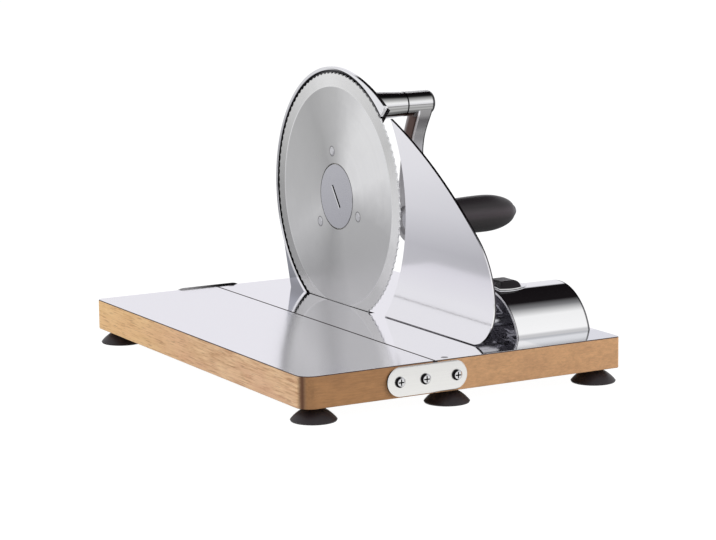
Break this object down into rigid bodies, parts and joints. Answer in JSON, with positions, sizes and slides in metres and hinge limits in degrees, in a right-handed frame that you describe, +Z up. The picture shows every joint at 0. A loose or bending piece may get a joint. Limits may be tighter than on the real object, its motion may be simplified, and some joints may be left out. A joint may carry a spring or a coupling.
{
  "type": "hand crank meat slicer",
  "caption": "Hand-cranked table slicer: geared round blade in a guard, sliding thickness plate, folding steel-topped board table on suction feet.",
  "frame": {"origin": "bottom centre of the overall box, on the surface the feet stand on", "axes": "+X from the folding table to the crank side, +Y along the blade's plane towards the blade's end of the table, +Z up"},
  "size_m": [0.3154, 0.3494, 0.2165],
  "materials": {
    "board_wood": "smooth oiled solid wood",
    "table_steel": "mirror-bright sheet",
    "mirror_steel": "mirror polished",
    "screw_steel": "turned, bright",
    "hinge_steel": "satin with bright edges",
    "blade_steel": "ground and polished",
    "lock_steel": "satin turned",
    "post_steel": "ground",
    "cast_guard": "polished casting",
    "crank_metal": "polished casting",
    "shell_chrome": "chromed sheet",
    "gear_plastic": "moulded",
    "gear_steel": "machined",
    "bush_brass": "reamed",
    "black_rubber": "semi-matt",
    "black_plastic": "semi-matt moulded",
    "dark_cast": "mottled, matt"
  },
  "bodies": {
    "base": {"right_board": "board_wood", "right_sheet": "table_steel", "sheet_screws": "screw_steel", "base_screws": "screw_steel", "right_foot_studs": "screw_steel", "foot_middle_front": "black_rubber", "foot_middle_rear": "black_rubber", "foot_right_front": "black_rubber", "foot_right_rear": "black_rubber", "pivot_screw_front": "screw_steel", "pivot_screw_rear": "screw_steel", "blade_housing": "cast_guard", "blade_post": "post_steel", "post_screws": "screw_steel", "crank_bush_inner": "bush_brass", "crank_bush_outer": "bush_brass", "slide_shell": "shell_chrome", "shell_end_plate": "dark_cast", "shell_bulkhead": "dark_cast"},
    "folding_table": {"left_board": "board_wood", "left_sheet": "table_steel", "left_foot_studs": "screw_steel", "foot_left_front": "black_rubber", "foot_left_rear": "black_rubber", "hinge_plate_front": "hinge_steel", "hinge_plate_rear": "hinge_steel", "plate_screws": "screw_steel"},
    "blade_set": {"blade": "blade_steel", "blade_gear": "gear_plastic", "blade_bush": "bush_brass", "blade_rivets": "screw_steel"},
    "lock": {"blade_lock": "lock_steel"},
    "crank": {"crank_shaft": "post_steel", "crank_pinion": "gear_steel", "crank_arm": "crank_metal", "hub_setscrew": "screw_steel", "grip_axle": "post_steel"},
    "handgrip": {"grip": "black_plastic"},
    "thickness_slide": {"thickness_plate": "mirror_steel", "plate_bracket": "post_steel", "guide_rod_front": "post_steel", "guide_rod_rear": "post_steel", "slide_block": "dark_cast", "knob_saddle": "shell_chrome", "thumb_knob": "black_plastic"}
  },
  "joints": [
    {"name": "table_fold", "type": "hinge", "parent": "base", "child": "folding_table", "pos_m": [-0.0369, 0, 0.0221], "axis": [0, 1, 0], "range_deg": [0, 90]},
    {"name": "blade_spin", "type": "hinge", "parent": "base", "child": "blade_set", "pos_m": [-0.0054, 0.0546, 0.1167], "axis": [1, 0, 0], "continuous": true},
    {"name": "lock_turn", "type": "hinge", "parent": "base", "child": "lock", "pos_m": [-0.0054, 0.0546, 0.1167], "axis": [1, 0, 0], "range_deg": [0, 90]},
    {"name": "crank_turn", "type": "hinge", "parent": "base", "child": "crank", "pos_m": [-0.0054, 0.0546, 0.1842], "axis": [1, 0, 0], "continuous": true},
    {"name": "grip_spin", "type": "hinge", "parent": "crank", "child": "handgrip", "pos_m": [0.0962, 0.0546, 0.0922], "axis": [1, 0, 0], "continuous": true},
    {"name": "thickness_set", "type": "slide", "parent": "base", "child": "thickness_slide", "axis": [1, 0, 0], "range_m": [0, 0.018]}
  ],
  "couplings": [
    {"joint": "crank_turn", "follows": "blade_spin", "ratio": -2.2143}
  ]
}
